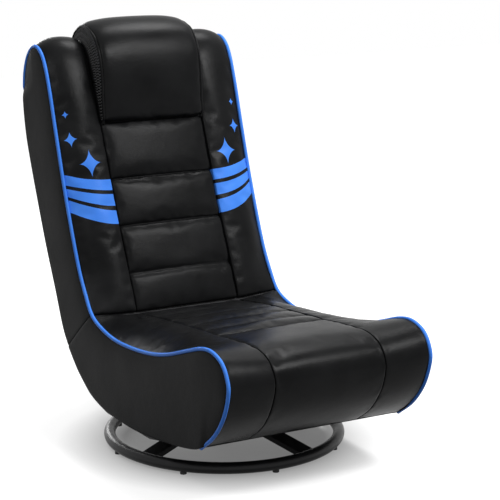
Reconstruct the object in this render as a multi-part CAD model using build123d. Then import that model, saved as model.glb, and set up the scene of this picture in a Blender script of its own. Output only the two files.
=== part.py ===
from build123d import *
import math
import os

os.makedirs("parts", exist_ok=True)

# Floor chair with a swivel base and a back that folds down onto the seat.
# Millimetres. +Z is up, the sitter faces -Y, and the origin is on the floor, on the swivel axis.

# Overall
WIDTH = 480.0           # across the piped edges
SIDE_T = 8.0            # side panel, board and cover together
COVER_T = 4.0           # bottom and rear panels, board and cover together
PIPING_D = 8.0
CLEAR = 0.3             # between soft neighbours
BOLSTER_W = 111.0       # side of the chair to the seam beside the centre panel
FAR = 2000.0            # larger than the chair, for cutting regions

# Crease, where the two halves meet
CREASE_Y = 175.0        # behind the swivel axis
CREASE_Z = 268.0        # above the floor
BUTT_LENGTH = 150.0     # crease to the rear tip, along the butt line
BUTT_SLOPE = 40.0       # degrees below level
CREASE_ROLL = 110.0     # crease to where the pads start to roll down to it
CREASE_DEPTH = 16.0     # depth of the valley there
PIPING_START = 24.0     # crease to the ends of the piping

# Seat side outline: distances forward of the crease, and heights above the floor
SEAT_EDGE_DROP = 15.5   # degrees that the side edge falls as it leaves the crease
SEAT_TURN_FORWARD = 425.0
SEAT_TURN_Z = 289.0
NOSE_TOP_FORWARD = 545.0
NOSE_TOP_Z = 322.0
NOSE_FORWARD = 613.0
NOSE_Z = 255.0
CHIN_FORWARD = 503.0
CHIN_Z = 111.0
BELLY_FORWARD = 285.0   # front end of the flat underside
BELLY_REAR = 85.0       # rear end of it
BELLY_Z = 68.0
BELLY_BOW = 20.0        # bow of the underside between the flat and the rear tip

# Seat upholstery
SEAT_PAD_T = 55.0
ROLL_TO_TURN = 44.0     # front roll's seam to the turn of the side edge in front of it
ROLL_Z = 301.0          # top of the seat at the seams there
ROLL_RISE = 4.0         # bow of the roll's top
SEAT_CROWN = 7.0        # rise of the centre panel between its seams
SEAT_CHANNELS = 4       # in front of the roll at the crease
SEAT_CHANNEL_BOW = 4.0
BOLSTER_CROWN = 8.0

# Back side outline, in the back's own frame: along it from the crease, and behind it
BACK_LEAN = 20.0        # degrees from upright
BACK_EDGE_DROP = 11.0   # degrees that the side edge turns rearwards as it leaves the crease
BACK_LENGTH = 620.0     # crease to the crest
CREST_BEHIND = 48.0
BROW_DROP = 52.0        # crest to the turn in front of it, along the back
BROW_BEHIND = 18.0
NAPE_DROP = 14.0        # crest to the turn behind it
NAPE_BEHIND = 126.0
SHOULDER_DROP = 127.0   # crest to the widest place
SHOULDER_BEHIND = 178.5

# Back upholstery
BACK_PAD_T = 50.0
CAP_FRONT = 48.0        # rounded cap at the top, from its front seam to the brow
CAP_BEHIND = 15.0       # front of the back at the seams there
BACK_CROWN = 7.0
BACK_CHANNELS = 4       # above the roll at the crease
BACK_CHANNEL_BOW = 5.0

# Headrest pillow
PILLOW_DROP = 96.0      # front seam of the cap to its lower edge
PILLOW_BULGE = 46.0     # in front of the pads
PILLOW_BULGE_LOW = 30.0
PILLOW_RISE = 58.0      # over the crest
PILLOW_TOP_BEHIND = 52.0
PILLOW_CLEAR = 1.0      # to the pads behind it
PILLOW_NAPE_RISE = 14.0  # over the cap where it turns down behind
PILLOW_DRAW_IN = 11.0   # how much smaller it is at its sides
LIP_DRAW = 0.5          # share of that at its lower edge
LIP_BOW = 6.0           # bows of its front, from the lower edge up and over
FACE_BOW = 6.0
BROW_BOW = 34.0
NAPE_BOW = 20.0
NAPE_LOW_BOW = 4.0
GUSSET_T = 3.0
FLAP_T = 4.0
FLAP_LENGTH = 190.0     # rear flap, down from the cap
FLAP_CLEAR = 0.5

# Frames
TUBE_D = 22.0
TUBE_WALL = 1.5
TUBE_BEND_R = 66.0
BOARD_T = 15.0
BOARD_MARGIN = 3.0      # end boards to the covers at the rear tip
SEAT_RAIL_INSET = 80.0  # side of the chair to the rail's centre line
RAIL_FLAT_FORWARD = 275.0
RAIL_FLAT_REAR = 85.0
FRONT_TUBE_GAP = 2.0    # front tube to the front roll
FRONT_TUBE_Z = 140.0
MOUNT_PLATE_T = 4.0
MOUNT_PLATE_Y = 180.0
BASE_BOARD_T = 9.0
CORE_PAST_CREASE = 17.0  # how far the seat's foam runs behind the crease
BACK_RAIL_INSET = 70.0
TOP_TUBE_GAP = 39.0     # top tube to the cap
STRAP_T = 1.5
STRAP_W = 50.0
STRAP_COUNT = 4
WELD_GAP = 0.05

# Fold hinges
HINGE_SIDE_X = 90.0     # side of the chair to the middle of each hinge
HINGE_INSET = 5.5       # crease to the pin, along the butt line
LEAF_T = 2.5
LEAF_W = 70.0
LEAF_END = 138.0        # crease to the end of the leaves, along the butt line
LEAF_GAP = 0.25         # each leaf to the butt plane
KNUCKLE_D = 8.0
HINGE_PIN_D = 4.0
PIN_CLEAR = 0.05
KNUCKLE_GAP = 0.3
KNUCKLE_ROOM = 1.0      # knuckles to the pads
PIN_HEAD_D = 7.0
PIN_HEAD_T = 3.0
SCREW_D = 4.0
SCREW_HEAD_D = 8.0
SCREW_LENGTH = 14.0
SCREW_SPACING = 40.0    # across the leaf
SCREW_ROWS = (112.0, 128.0)  # crease to each row, along the butt line

# Base
RING_R = 252.0          # centre line of the ring
RING_TUBE_D = 25.0
RING_WALL = 1.8
GLIDE_H = 4.5           # floor to the ring
GLIDE_D = 14.0
GLIDE_STEM_D = 5.0
GLIDE_STEM_H = 8.0
GLIDE_COUNT = 8
SPOKE_COUNT = 4
SPOKE_W = 40.0
SPOKE_T = 3.0
SPOKE_FLANGE = 11.0
SPOKE_IN = 28.0         # axis to the inner end of a spoke
HUB_W = 180.0
HUB_T = 4.0
BASE_TURN = 18.5        # degrees that the base is turned at rest

# Swivel bearing
PLATE_W = 172.0
PLATE_T = 2.5
PLATE_CORNER = 12.0
BALL_D = 8.0
BALL_COUNT = 14
RACE_R = 50.0
RACE_CLEAR = 0.05
PLATE_GAP = 5.0
CAGE_T = 2.5
CAGE_W = 16.0
CAGE_CLEAR = 0.1
PIVOT_D = 10.0
PIVOT_HEAD_D = 20.0
PIVOT_HEAD_T = 2.8
PIVOT_ROOM = 2.0        # clear space round the pivot's head
BOLT_D = 6.0
BOLT_HEAD_D = 11.0
BOLT_HEAD_T = 3.4
NUT_T = 5.0
NUT_ACROSS = 10.0
BOLT_CLEAR = 0.05
THREAD_OUT = 1.0        # past the nut
LOWER_BOLT_R = 102.0
UPPER_BOLT_R = 78.0

# Derived sizes
half_w = WIDTH / 2
inner_x = half_w - SIDE_T           # inner faces of the side panels
pad_x = inner_x - CLEAR
seam_x = half_w - BOLSTER_W         # seams beside the centre panels
hinge_x = half_w - HINGE_SIDE_X
seat_rail_x = half_w - SEAT_RAIL_INSET
back_rail_x = half_w - BACK_RAIL_INSET
piping_r = PIPING_D / 2
edge_inset = piping_r + CLEAR       # side panel edges lie this far inside the piping's centre line
tube_r = TUBE_D / 2
end_setback = LEAF_GAP + LEAF_T + CLEAR  # from the butt plane to the boards and pads
crease = (CREASE_Y, CREASE_Z)
butt_cos = math.cos(math.radians(BUTT_SLOPE))
butt_sin = math.sin(math.radians(BUTT_SLOPE))
lean_cos = math.cos(math.radians(BACK_LEAN))
lean_sin = math.sin(math.radians(BACK_LEAN))
roll_forward = SEAT_TURN_FORWARD - ROLL_TO_TURN
brow_along = BACK_LENGTH - BROW_DROP
nape_along = BACK_LENGTH - NAPE_DROP
shoulder_along = BACK_LENGTH - SHOULDER_DROP
cap_along = brow_along - CAP_FRONT  # front seam of the cap
pillow_low = cap_along - PILLOW_DROP
pillow_under = pillow_low - PILLOW_BULGE  # below the pillow, for its hollow
flap_low = cap_along - FLAP_LENGTH
front_tube_forward = roll_forward - FRONT_TUBE_GAP - tube_r
top_tube_along = cap_along - TOP_TUBE_GAP - tube_r


def seat_point(forward, z):
    return (CREASE_Y - forward, z)


def butt_point(along, over):
    """A point by its distance down the butt line and over it, towards the back half."""
    return (
        CREASE_Y + along * butt_cos + over * butt_sin,
        CREASE_Z - along * butt_sin + over * butt_cos,
    )


def back_point(along, behind):
    return (
        CREASE_Y + along * lean_sin + behind * lean_cos,
        CREASE_Z + along * lean_cos - behind * lean_sin,
    )


def back_direction(degrees):
    """A direction in the side view, by its turn from the back's line towards its rear."""
    a = math.radians(90 - BACK_LEAN - degrees)
    return (math.cos(a), math.sin(a))


def bow(a, b, rise):
    """An arc from a to b that rises to the left of that line."""
    dy = b[0] - a[0]
    dz = b[1] - a[1]
    length = math.hypot(dy, dz)
    middle = ((a[0] + b[0]) / 2 - dz / length * rise, (a[1] + b[1]) / 2 + dy / length * rise)
    return ThreePointArc(a, middle, b)


def tangent_chain(start, direction, points):
    edges = []
    for point in points:
        edges.append(TangentArc(start, point, tangent=direction))
        end = edges[-1] % 1
        direction = (end.X, end.Y)
        start = point
    return edges


def between(a, b, share):
    return (a[0] + (b[0] - a[0]) * share, a[1] + (b[1] - a[1]) * share)


def unit(a, b):
    length = math.hypot(b[0] - a[0], b[1] - a[1])
    return ((b[0] - a[0]) / length, (b[1] - a[1]) / length)


def step(a, direction, length):
    return (a[0] + direction[0] * length, a[1] + direction[1] * length)


def meet(a, a_dir, b, b_dir):
    """Where two lines in the side view cross."""
    det = a_dir[0] * b_dir[1] - a_dir[1] * b_dir[0]
    t = ((b[0] - a[0]) * b_dir[1] - (b[1] - a[1]) * b_dir[0]) / det
    return step(a, a_dir, t)


def side_face(edges, x=0.0):
    """A face drawn in the side view, (Y, Z), and set at a distance from the centre line."""
    return Plane.YZ.offset(x) * make_face(edges)


def across(face, x_low, x_high):
    """Extrude a side-view face between two distances from the centre line."""
    return extrude(Pos(x_low, 0, 0) * face, amount=x_high - x_low, dir=(1, 0, 0))


def polygon(points):
    return make_face(Polyline(*points, close=True))


def shrunk(face, amount):
    return offset(face, amount=-amount, kind=Kind.INTERSECTION)


def flat_to_side(face):
    return Plane.YZ * face


def rod(x_low, x_high, centre, radius):
    """A round bar that lies across the chair."""
    return across(Plane.YZ * (Pos(*centre) * Circle(radius)), x_low, x_high)


def tube_along(points, x, radius):
    """A round bar through points of the side view, with tangent bends."""
    if len(points) > 2:
        path = FilletPolyline(*points, radius=TUBE_BEND_R)
    else:
        path = Line(*points)
    path = Plane.YZ.offset(x) * path
    return sweep(Plane(origin=path @ 0, z_dir=path % 0) * Circle(radius), path=path)


def steel_tube(points, x):
    """An open-ended steel tube."""
    return tube_along(points, x, tube_r) - tube_along(points, x, tube_r - TUBE_WALL)


def mirrored(solid):
    return mirror(solid, about=Plane.YZ)


def save(name, *solids):
    shape = solids[0] if len(solids) == 1 else Compound(children=list(solids))
    export_step(shape, f"parts/{name}.step")


def save_pair(name, right):
    save(name + "_right", right)
    save(name + "_left", mirrored(right))


# Side outlines of the two halves
tip = butt_point(BUTT_LENGTH, 0)
roll_y = CREASE_Y - roll_forward
nose_top = seat_point(NOSE_TOP_FORWARD, NOSE_TOP_Z)
nose = seat_point(NOSE_FORWARD, NOSE_Z)
chin = seat_point(CHIN_FORWARD, CHIN_Z)
belly_front = seat_point(BELLY_FORWARD, BELLY_Z)
belly_rear = seat_point(BELLY_REAR, BELLY_Z)
seat_drop = math.radians(SEAT_EDGE_DROP)
seat_turn = seat_point(SEAT_TURN_FORWARD, SEAT_TURN_Z)
seat_edge = tangent_chain(
    crease, (-math.cos(seat_drop), -math.sin(seat_drop)), [seat_turn, nose_top, nose, chin]
)
belly_edge = bow(belly_rear, tip, -BELLY_BOW)
seat_outline = make_face(
    seat_edge + [Line(chin, belly_front), Line(belly_front, belly_rear), belly_edge, Line(tip, crease)]
)

brow = back_point(brow_along, BROW_BEHIND)
crest = back_point(BACK_LENGTH, CREST_BEHIND)
nape = back_point(nape_along, NAPE_BEHIND)
shoulder = back_point(shoulder_along, SHOULDER_BEHIND)
back_edge = tangent_chain(
    crease, back_direction(BACK_EDGE_DROP), [brow, crest, nape, shoulder, tip]
)
back_outline = make_face(back_edge + [Line(tip, crease)])


def edge_at(edge, coordinate, value):
    """The point of an edge where a coordinate, which grows or falls steadily, has a value."""
    low, high = 0.0, 1.0
    rising = coordinate(edge @ 1) > coordinate(edge @ 0)
    for _ in range(40):
        middle = (low + high) / 2
        if (coordinate(edge @ middle) < value) == rising:
            low = middle
        else:
            high = middle
    point = edge @ low
    return (point.X, point.Y)


def along_of(point):
    return (point.X - CREASE_Y) * lean_sin + (point.Y - CREASE_Z) * lean_cos


def y_of(point):
    """The side view's first axis is the chair's Y."""
    return point.X


# Pads: sections in the side view, lofted across the chair
def pad_section(x, end_corner, end_dir, front_dir, front, rear_front, rear_end, rises):
    """A pad's section, rolled down to the crease and bowed between its sewn lines."""
    start = step(end_corner, end_dir, CREASE_DEPTH)
    face_start = step(end_corner, front_dir, CREASE_ROLL)
    to_crease = (-front_dir[0], -front_dir[1])
    edges = [Line(rear_end, start), TangentArc(face_start, start, tangent=to_crease)]
    last = face_start
    for i, rise in enumerate(rises):
        point = between(face_start, front, (i + 1) / len(rises))
        edges.append(bow(last, point, rise))
        last = point
    edges += [Line(front, rear_front), Line(rear_front, rear_end)]
    return side_face(edges, x)


seat_corner = butt_point(0, -end_setback)
seat_seam_front = (roll_y, ROLL_Z)
seat_line = unit(crease, seat_seam_front)
seat_edge_front = edge_at(seat_edge[0], y_of, roll_y)
seat_pad_low = (CREASE_Y, CREASE_Z - SEAT_PAD_T)
seat_rear_end = meet(seat_corner, (butt_cos, -butt_sin), seat_pad_low, seat_line)


def seat_section(x, front_y, front_z, rises):
    front = (front_y, front_z)
    return pad_section(
        x,
        seat_corner,
        (butt_cos, -butt_sin),
        unit(seat_corner, front),
        front,
        (front_y, ROLL_Z - SEAT_PAD_T),
        seat_rear_end,
        rises,
    )


back_corner = butt_point(0, end_setback)
cap_start = back_point(cap_along, CAP_BEHIND)
cap_edge_start = edge_at(back_edge[0], along_of, cap_along)
cap_rear = edge_at(back_edge[3], along_of, cap_along)
cover_along = cap_along - CLEAR     # top of the centre pad and the rear panel
centre_top = back_point(cover_along, CAP_BEHIND)
back_line = unit(crease, cap_start)
back_behind = (back_line[1], -back_line[0])
back_rear_line = step(crease, back_behind, BACK_PAD_T)
back_rear_end = meet(back_corner, (butt_cos, -butt_sin), back_rear_line, back_line)


def back_section(x, front, rises):
    rear_front = meet(front, (lean_cos, -lean_sin), back_rear_line, back_line)
    return pad_section(
        x,
        back_corner,
        (butt_cos, -butt_sin),
        unit(back_corner, front),
        front,
        rear_front,
        back_rear_end,
        rises,
    )


hinge_axis = butt_point(HINGE_INSET, 0)
crease_groove = rod(-FAR, FAR, hinge_axis, KNUCKLE_D / 2 + KNUCKLE_ROOM)


def shape_pad(sections):
    return loft(sections) - crease_groove


# Seat: the side edge dips below the straight line of the seams
seat_dip_point = edge_at(seat_edge[0], y_of, (CREASE_Y + roll_y) / 2)
seat_dip = (CREASE_Z + seat_edge_front[1]) / 2 - seat_dip_point[1]
seat_edge_front_z = seat_edge_front[1]
seat_between_z = (ROLL_Z + seat_edge_front_z) / 2 + BOLSTER_CROWN
bolster_x = (seam_x + pad_x) / 2

nose_tangent = seat_edge[1] % 1
under_cover = COVER_T + 2 * CLEAR


def roll_section(x, top_z):
    """The section of the seat's front: over the nose and down to the chin."""
    start = (roll_y, top_z)
    low = (chin[0], chin[1] + under_cover)
    share = (belly_front[0] - roll_y) / (belly_front[0] - chin[0])
    low_rear = (roll_y, between(belly_front, chin, share)[1] + under_cover)
    top = bow(start, nose_top, -ROLL_RISE)
    nose_curve = tangent_chain(nose_top, (nose_tangent.X, nose_tangent.Y), [nose, low])
    return side_face([top, *nose_curve, Line(low, low_rear), Line(low_rear, start)], x)


centre_x = seam_x - CLEAR
centre_y = roll_y + CLEAR
seat_channel_rises = [-SEAT_CHANNEL_BOW] * SEAT_CHANNELS
seat_centre_pad = shape_pad(
    [
        seat_section(-centre_x, centre_y, ROLL_Z, seat_channel_rises),
        seat_section(0, centre_y, ROLL_Z + SEAT_CROWN, seat_channel_rises),
        seat_section(centre_x, centre_y, ROLL_Z, seat_channel_rises),
    ]
)
front_roll = loft(
    [
        roll_section(-centre_x, ROLL_Z),
        roll_section(0, ROLL_Z + SEAT_CROWN),
        roll_section(centre_x, ROLL_Z),
    ]
)
seat_bolster = shape_pad(
    [
        seat_section(seam_x, roll_y, ROLL_Z, [-CLEAR]),
        seat_section(bolster_x, roll_y, seat_between_z, [seat_dip / 2 - BOLSTER_CROWN]),
        seat_section(pad_x, roll_y, seat_edge_front_z, [seat_dip]),
    ]
) + loft(
    [
        roll_section(seam_x, ROLL_Z),
        roll_section(bolster_x, seat_between_z),
        roll_section(pad_x, seat_edge_front_z),
    ]
)
save("seat_centre_pad", seat_centre_pad)
save("seat_front_roll", front_roll)
save_pair("seat_bolster", seat_bolster)

# Seat shell
seat_inner = shrunk(seat_outline, edge_inset)
seat_side = across(flat_to_side(seat_inner), inner_x, half_w)
save_pair("seat_side_panel", seat_side)

seat_under = polygon([chin, tip, (tip[0], -FAR), (chin[0], -FAR)])
seat_cover = (seat_outline - shrunk(seat_outline, COVER_T)) & seat_under
seat_bottom = across(flat_to_side(seat_cover), -half_w, half_w)

# Back pads
back_hollow_point = edge_at(back_edge[0], along_of, cap_along / 2)
back_hollow = (
    (back_hollow_point[0] - (crease[0] + cap_edge_start[0]) / 2) * lean_cos
    - (back_hollow_point[1] - (crease[1] + cap_edge_start[1]) / 2) * lean_sin
)
crown_step = (-lean_cos, lean_sin)
back_between = step(between(cap_start, cap_edge_start, 0.5), crown_step, BOLSTER_CROWN)
back_channel_rises = [BACK_CHANNEL_BOW] * BACK_CHANNELS
brow_tangent = back_edge[0] % 1


def cap_section(x, start):
    """The section of the rounded top of the back."""
    front = bow(start, brow, CLEAR)
    over = tangent_chain(brow, (brow_tangent.X, brow_tangent.Y), [crest, nape])
    rear = TangentArc(nape, cap_rear, tangent=over[-1] % 1)
    return side_face([front, *over, rear, Line(cap_rear, start)], x)


back_centre_pad = shape_pad(
    [
        back_section(-centre_x, centre_top, back_channel_rises),
        back_section(0, step(centre_top, crown_step, BACK_CROWN), back_channel_rises),
        back_section(centre_x, centre_top, back_channel_rises),
    ]
)
back_cap = loft([cap_section(-centre_x, cap_start), cap_section(centre_x, cap_start)])
back_bolster = shape_pad(
    [
        back_section(seam_x, cap_start, [CLEAR]),
        back_section(bolster_x, back_between, [BOLSTER_CROWN - back_hollow / 2]),
        back_section(pad_x, cap_edge_start, [-back_hollow]),
    ]
) + loft(
    [
        cap_section(seam_x, cap_start),
        cap_section(bolster_x, back_between),
        cap_section(pad_x, cap_edge_start),
    ]
)
save("back_centre_pad", back_centre_pad)
save("back_top_cap", back_cap)
save_pair("back_bolster", back_bolster)

# Back shell
back_inner = shrunk(back_outline, edge_inset)
back_side = across(flat_to_side(back_inner), inner_x, half_w)
save_pair("back_side_panel", back_side)

cover_top = edge_at(back_edge[3], along_of, cover_along)
back_cover = (back_outline - shrunk(back_outline, COVER_T)) & polygon(
    [tip, cover_top, back_point(cover_along, FAR), step(tip, (lean_cos, -lean_sin), FAR)]
)
back_rear_panel = across(flat_to_side(back_cover), -half_w, half_w)
save("back_rear_panel", back_rear_panel)


# Piping along the four edges
def piping(edges):
    """A cord along an edge, from a little way off the crease."""
    first = edges[0].trim(PIPING_START / edges[0].length, 1.0)
    path = Plane.YZ.offset(half_w - piping_r) * Wire([first] + edges[1:])
    return sweep(Plane(origin=path @ 0, z_dir=path % 0) * Circle(piping_r), path=path)


save_pair("seat_piping", piping(seat_edge))
rear_piping = TangentArc(nape, cap_rear, tangent=back_edge[2] % 1)
save_pair("back_piping", piping(back_edge[:3] + [rear_piping]))

# Headrest pillow, with mesh gussets at its sides and a flap behind
pillow_off = BACK_CROWN + BACK_CHANNEL_BOW + PILLOW_CLEAR  # its hollow stands this far off the seam line
pillow_hollow = offset(back_outline, amount=FLAP_CLEAR, kind=Kind.ARC) + polygon(
    [
        back_point(pillow_under, 0),
        step(back_point(pillow_under, 0), back_behind, -pillow_off),
        step(cap_start, back_behind, -pillow_off),
        step(brow, back_behind, -CLEAR),
        brow,
        nape,
        back_point(pillow_under, NAPE_BEHIND),
    ]
)


def pad_front(along, forward):
    """A point in front of the seam line of the back."""
    base = between(crease, cap_start, along / cap_along)
    return step(base, back_behind, -forward)


def pillow_section(draw_in):
    low = pad_front(pillow_low, 0)
    lip = pad_front(pillow_low, PILLOW_BULGE_LOW - draw_in * LIP_DRAW)
    full = pad_front(cap_along, PILLOW_BULGE - draw_in)
    top = back_point(BACK_LENGTH + PILLOW_RISE - draw_in, PILLOW_TOP_BEHIND)
    rear = step(nape, unit(brow, nape), PILLOW_NAPE_RISE)
    end = step(cap_rear, (lean_cos, -lean_sin), FLAP_T + FLAP_CLEAR)
    edges = [
        bow(low, lip, LIP_BOW),
        bow(lip, full, FACE_BOW),
        bow(full, top, BROW_BOW),
        bow(top, rear, NAPE_BOW),
        bow(rear, end, NAPE_LOW_BOW),
        Line(end, cap_rear),
        Line(cap_rear, low),
    ]
    return make_face(edges)


gusset_x = seam_x - GUSSET_T
pillow_x = gusset_x - CLEAR
pillow_mid_x = pillow_x / 2
hollow_solid = across(flat_to_side(pillow_hollow), -FAR, FAR)
pillow = loft(
    [
        flat_to_side(pillow_section(PILLOW_DRAW_IN)).moved(Pos(-pillow_x, 0, 0)),
        flat_to_side(pillow_section(0)).moved(Pos(-pillow_mid_x, 0, 0)),
        flat_to_side(pillow_section(0)).moved(Pos(pillow_mid_x, 0, 0)),
        flat_to_side(pillow_section(PILLOW_DRAW_IN)).moved(Pos(pillow_x, 0, 0)),
    ]
) - hollow_solid
save("headrest_pillow", pillow)
gusset = across(flat_to_side(pillow_section(PILLOW_DRAW_IN)), gusset_x, seam_x) - hollow_solid
save_pair("headrest_gusset", gusset)

flap_region = polygon(
    [
        back_point(flap_low, NAPE_BEHIND),
        back_point(flap_low, FAR),
        back_point(cap_along, FAR),
        back_point(cap_along, NAPE_BEHIND),
    ]
)
flap = (
    offset(back_outline, amount=FLAP_CLEAR + FLAP_T, kind=Kind.ARC)
    - offset(back_outline, amount=FLAP_CLEAR, kind=Kind.ARC)
) & flap_region
save("headrest_rear_flap", across(flat_to_side(flap), -seam_x, seam_x))


# End boards on both sides of the butt line
def end_board(start, side):
    near = side * end_setback
    far = side * (end_setback + BOARD_T)
    end = BUTT_LENGTH - COVER_T - BOARD_MARGIN
    corners = [butt_point(start, near), butt_point(end, near), butt_point(end, far), butt_point(start, far)]
    return across(flat_to_side(polygon(corners)), -pad_x, pad_x)


def butt_along(point):
    return (point[0] - CREASE_Y) * butt_cos - (point[1] - CREASE_Z) * butt_sin


seat_board_start = butt_along(seat_rear_end) + CLEAR
back_board_start = butt_along(back_rear_end) + BOARD_T
seat_board = end_board(seat_board_start, -1)
back_board = end_board(back_board_start, 1)


# Fold hinges: leaves, pins and screws, one hinge on each side
knuckle_r = KNUCKLE_D / 2
middle_half = LEAF_W / 6
pin_r = HINGE_PIN_D / 2


screw_columns = (hinge_x - SCREW_SPACING / 2, hinge_x + SCREW_SPACING / 2)
screw_places = [(x, row) for x in screw_columns for row in SCREW_ROWS]


def screw(place, side, grow):
    """A countersunk wood screw, flush with its leaf."""
    x, row = place
    origin = butt_point(row, side * (LEAF_GAP + CLEAR / 2))
    direction = (0, side * butt_sin, side * butt_cos)
    plane = Plane(origin=(x, *origin), x_dir=(1, 0, 0), z_dir=direction)
    shank_r = SCREW_D / 2 + grow
    head_r = SCREW_HEAD_D / 2 + grow
    head_h = head_r - shank_r
    head = Pos(0, 0, head_h / 2) * Cone(head_r, shank_r, head_h)
    shank = Pos(0, 0, SCREW_LENGTH / 2) * Cylinder(shank_r, SCREW_LENGTH)
    return plane * (head + shank)


def leaf(side):
    """One hinge leaf; the seat's carries the two outer knuckles and the back's the middle one."""
    near = side * LEAF_GAP
    far = side * (LEAF_GAP + LEAF_T)
    start = HINGE_INSET
    plate = across(
        flat_to_side(
            polygon(
                [
                    butt_point(start, near),
                    butt_point(LEAF_END, near),
                    butt_point(LEAF_END, far),
                    butt_point(start, far),
                ]
            )
        ),
        hinge_x - LEAF_W / 2,
        hinge_x + LEAF_W / 2,
    )
    spans = [
        (-LEAF_W / 2, -middle_half - KNUCKLE_GAP / 2),
        (-middle_half + KNUCKLE_GAP / 2, middle_half - KNUCKLE_GAP / 2),
        (middle_half + KNUCKLE_GAP / 2, LEAF_W / 2),
    ]
    own = (0, 2) if side < 0 else (1,)
    for i, (low, high) in enumerate(spans):
        if i in own:
            plate += rod(hinge_x + low, hinge_x + high, hinge_axis, knuckle_r)
        else:
            grow = KNUCKLE_GAP
            plate -= rod(hinge_x + low - grow, hinge_x + high + grow, hinge_axis, knuckle_r + grow)
    plate -= rod(0, FAR, hinge_axis, pin_r + PIN_CLEAR)
    for place in screw_places:
        plate -= screw(place, side, BOLT_CLEAR)
    return plate


def screws(side, grow):
    right = [screw(place, side, grow) for place in screw_places]
    return right + [mirrored(s) for s in right]


for side, owner in ((-1, "seat"), (1, "back")):
    one = leaf(side)
    save(f"hinge_{owner}_leaves", one, mirrored(one))
    save(f"hinge_{owner}_screws", *screws(side, 0))
pin_low = hinge_x - LEAF_W / 2
pin_high = hinge_x + LEAF_W / 2
hinge_pin = (
    rod(pin_low - PIN_HEAD_T, pin_low - PIN_CLEAR, hinge_axis, PIN_HEAD_D / 2)
    + rod(pin_high + PIN_CLEAR, pin_high + PIN_HEAD_T, hinge_axis, PIN_HEAD_D / 2)
    + rod(pin_low - PIN_HEAD_T, pin_high + PIN_HEAD_T, hinge_axis, pin_r)
)
save("hinge_pins", hinge_pin, mirrored(hinge_pin))

seat_board -= screws(-1, BOLT_CLEAR)
back_board -= screws(1, BOLT_CLEAR)
save("seat_end_board", seat_board)
save("back_end_board", back_board)

# Swivel stack, from the belly down
plate_upper_z = BELLY_Z - PLATE_T
plate_lower_z = plate_upper_z - PLATE_GAP - PLATE_T
hub_z = plate_lower_z - HUB_T
ball_z = plate_upper_z - PLATE_GAP / 2
race = Pos(0, 0, ball_z) * Torus(RACE_R, BALL_D / 2 + RACE_CLEAR)


def upright(x, y, z_low, z_high, radius):
    return Pos(x, y, (z_low + z_high) / 2) * Cylinder(radius, z_high - z_low)


def square_plate(width, z_low, thickness, turn, corner):
    plate = RectangleRounded(width, width, corner)
    return Pos(0, 0, z_low) * Rot(0, 0, turn) * extrude(plate, amount=thickness)


def corner_places(radius, turn):
    angles = [math.radians(turn + 45 + 90 * i) for i in range(4)]
    return [(radius * math.cos(a), radius * math.sin(a)) for a in angles]


def nut(x, y, z_low):
    hexagon = RegularPolygon(NUT_ACROSS / 2, 6, major_radius=False) - Circle(BOLT_D / 2 + BOLT_CLEAR)
    return Pos(x, y, z_low) * extrude(hexagon, amount=NUT_T)


bolt_hole_r = BOLT_D / 2 + BOLT_CLEAR
lower_places = corner_places(LOWER_BOLT_R, BASE_TURN)
upper_places = corner_places(UPPER_BOLT_R, 0)

lower_plate = square_plate(PLATE_W, plate_lower_z, PLATE_T, BASE_TURN, PLATE_CORNER) - race
upper_plate = square_plate(PLATE_W, plate_upper_z, PLATE_T, 0, PLATE_CORNER) - race
hub_plate = square_plate(HUB_W, hub_z, HUB_T, BASE_TURN, PLATE_CORNER)
pivot_hole = upright(0, 0, 0, BELLY_Z + FAR, PIVOT_D / 2 + PIN_CLEAR)
lower_plate -= pivot_hole
upper_plate -= pivot_hole
hub_plate -= pivot_hole
for x, y in lower_places:
    hole = upright(x, y, 0, BELLY_Z, bolt_hole_r)
    lower_plate -= hole
    hub_plate -= hole

mount_plate_z = BELLY_Z + COVER_T
mount_top = mount_plate_z + MOUNT_PLATE_T
mount_plate_x = 2 * (seat_rail_x + tube_r)
mount_plate_mid = (belly_front[0] + belly_rear[0]) / 2
mount_plate = Pos(0, mount_plate_mid, mount_plate_z) * extrude(
    RectangleRounded(mount_plate_x, MOUNT_PLATE_Y, PLATE_CORNER), amount=MOUNT_PLATE_T
)
pivot_room = upright(0, 0, BELLY_Z, mount_top, PIVOT_HEAD_D / 2 + PIVOT_ROOM)
mount_plate -= pivot_room
seat_bottom -= pivot_room
for x, y in upper_places:
    hole = upright(x, y, plate_upper_z, mount_top, bolt_hole_r)
    upper_plate -= hole
    mount_plate -= hole
    seat_bottom -= hole
save("swivel_lower_plate", lower_plate)
save("swivel_upper_plate", upper_plate)
save("base_hub_plate", hub_plate)
save("seat_mount_plate", mount_plate)
save("seat_bottom_panel", seat_bottom)


def bolt(x, y, head_z, direction, length):
    """A bolt whose head stands on head_z and whose shank runs the other way."""
    head_end = head_z + direction * BOLT_HEAD_T
    shank_end = head_z - direction * length
    head = upright(x, y, min(head_z, head_end), max(head_z, head_end), BOLT_HEAD_D / 2)
    shank = upright(x, y, min(head_end, shank_end), max(head_end, shank_end), BOLT_D / 2)
    return head + shank


lower_grip = PLATE_T + HUB_T
upper_grip = PLATE_T + COVER_T + MOUNT_PLATE_T
save(
    "hub_bolts",
    *[bolt(x, y, plate_lower_z + PLATE_T, 1, lower_grip + NUT_T + THREAD_OUT) for x, y in lower_places],
)
save("hub_nuts", *[nut(x, y, hub_z - NUT_T) for x, y in lower_places])
save(
    "swivel_bolts",
    *[bolt(x, y, plate_upper_z, -1, upper_grip + NUT_T + THREAD_OUT) for x, y in upper_places],
)
save("swivel_nuts", *[nut(x, y, mount_top) for x, y in upper_places])

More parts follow.
